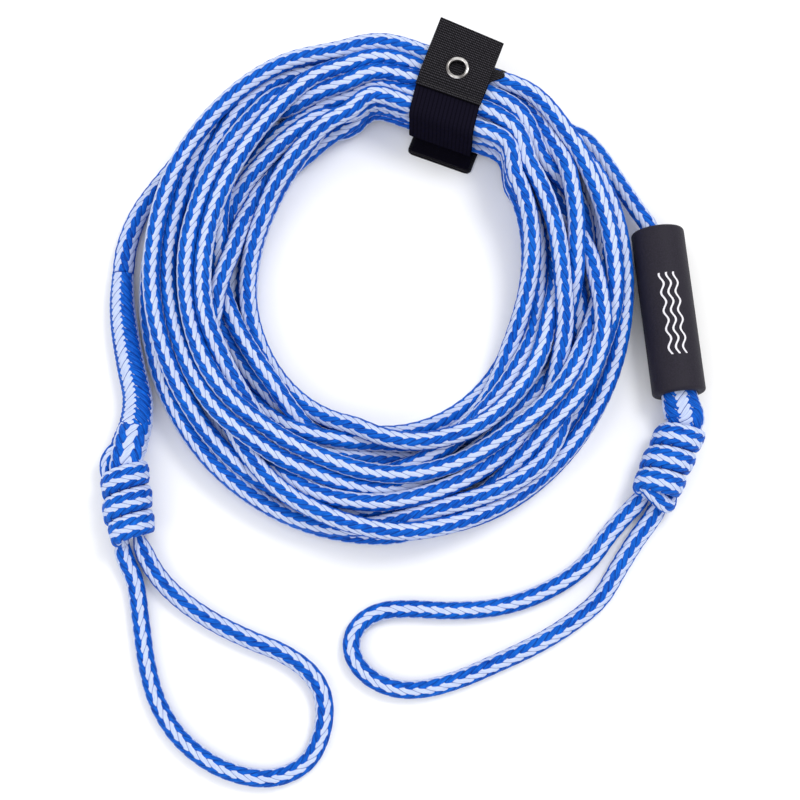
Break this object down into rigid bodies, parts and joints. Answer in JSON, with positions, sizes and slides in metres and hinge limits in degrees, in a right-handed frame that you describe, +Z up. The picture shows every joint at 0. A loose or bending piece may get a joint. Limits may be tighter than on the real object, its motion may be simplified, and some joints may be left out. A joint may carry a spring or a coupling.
{
  "type": "tow rope",
  "caption": "Coiled braided tow rope with a knotted eye loop at each end, a foam float on one end and a webbing keeper strap.",
  "frame": {"origin": "middle of the underside of the whole rope's bounding box, on the surface it lies on", "axes": "+Z up from the floor; +Y the long way, from the eye loops towards the strap; +X to the float's side"},
  "size_m": [0.4152, 0.5266, 0.0574],
  "materials": {
    "rope_braid": "blue and white hollow-braid polyethylene yarn, satin",
    "float_foam": "black closed-cell foam, matte",
    "webbing": "black ribbed nylon webbing",
    "hook_and_loop": "black hook-and-loop tape",
    "nickel": "nickel-plated brass, polished"
  },
  "bodies": {
    "coil": {"rope_coil": "rope_braid", "left_lead": "rope_braid", "left_splice": "rope_braid", "left_knot": "rope_braid", "right_lead": "rope_braid", "right_splice": "rope_braid", "right_knot": "rope_braid", "strap_band": "webbing", "hook_tape": "hook_and_loop", "loop_tape": "hook_and_loop"},
    "float": {"float": "float_foam"},
    "tab": {"hang_tab": "webbing", "grommet": "nickel", "grommet_washer": "nickel"},
    "left_eye": {"left_eye": "rope_braid"},
    "right_eye": {"right_eye": "rope_braid"}
  },
  "joints": [
    {"name": "float_spin", "type": "hinge", "parent": "coil", "child": "float", "pos_m": [0.18369, 0.05886, 0.0186], "axis": [-0.0993, 0.9951, 0], "continuous": true},
    {"name": "tab_lift", "type": "hinge", "parent": "coil", "child": "tab", "pos_m": [0.03013, 0.20588, 0.0525], "axis": [0.9373, -0.3486, 0], "range_deg": [0, 100]},
    {"name": "left_eye_lift", "type": "hinge", "parent": "coil", "child": "left_eye", "pos_m": [-0.18472, -0.10725, 0.008], "axis": [-0.9929, -0.1191, 0], "range_deg": [0, 85]},
    {"name": "right_eye_lift", "type": "hinge", "parent": "coil", "child": "right_eye", "pos_m": [0.16667, -0.07567, 0.008], "axis": [-0.9057, 0.4239, 0], "range_deg": [0, 85]}
  ]
}
